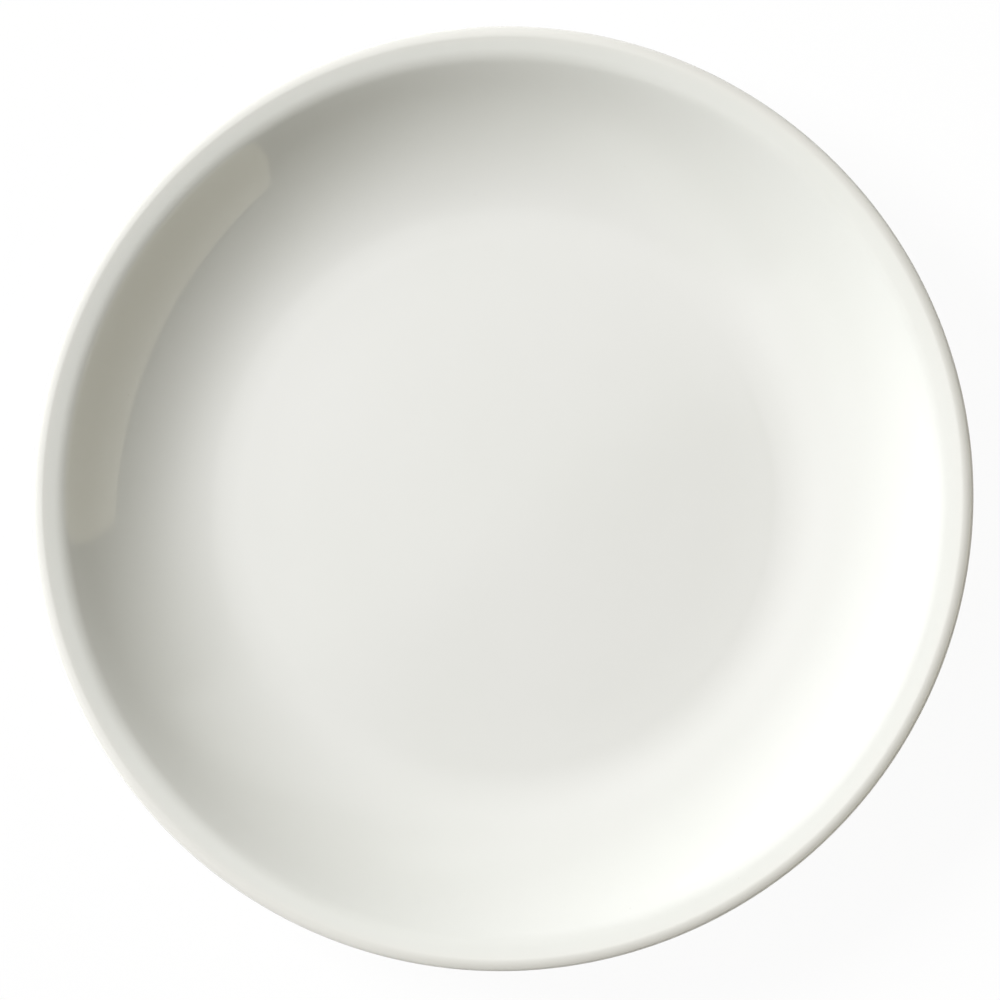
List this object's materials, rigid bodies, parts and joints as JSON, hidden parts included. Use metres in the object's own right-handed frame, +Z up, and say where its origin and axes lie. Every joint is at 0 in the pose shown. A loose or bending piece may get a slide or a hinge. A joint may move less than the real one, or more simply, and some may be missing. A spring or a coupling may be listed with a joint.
{
  "type": "narrow rim plate",
  "caption": "Round white porcelain dinner plate with a flat well, a coved wall, a narrow rolled rim and a bare foot ring.",
  "frame": {"origin": "centre of the foot ring, on the surface that the plate stands on", "axes": "+Z up the plate's axis, out of the well; X and Y level, in any direction because the plate is round"},
  "size_m": [0.254, 0.254, 0.0282],
  "materials": {
    "bisque": "bare vitrified porcelain, fine matt grain, ground smooth on the foot",
    "glaze": "clear gloss glaze over white porcelain"
  },
  "bodies": {
    "root": {"porcelain_body": "bisque", "face_glaze": "glaze", "base_glaze": "glaze"}
  },
  "joints": []
}
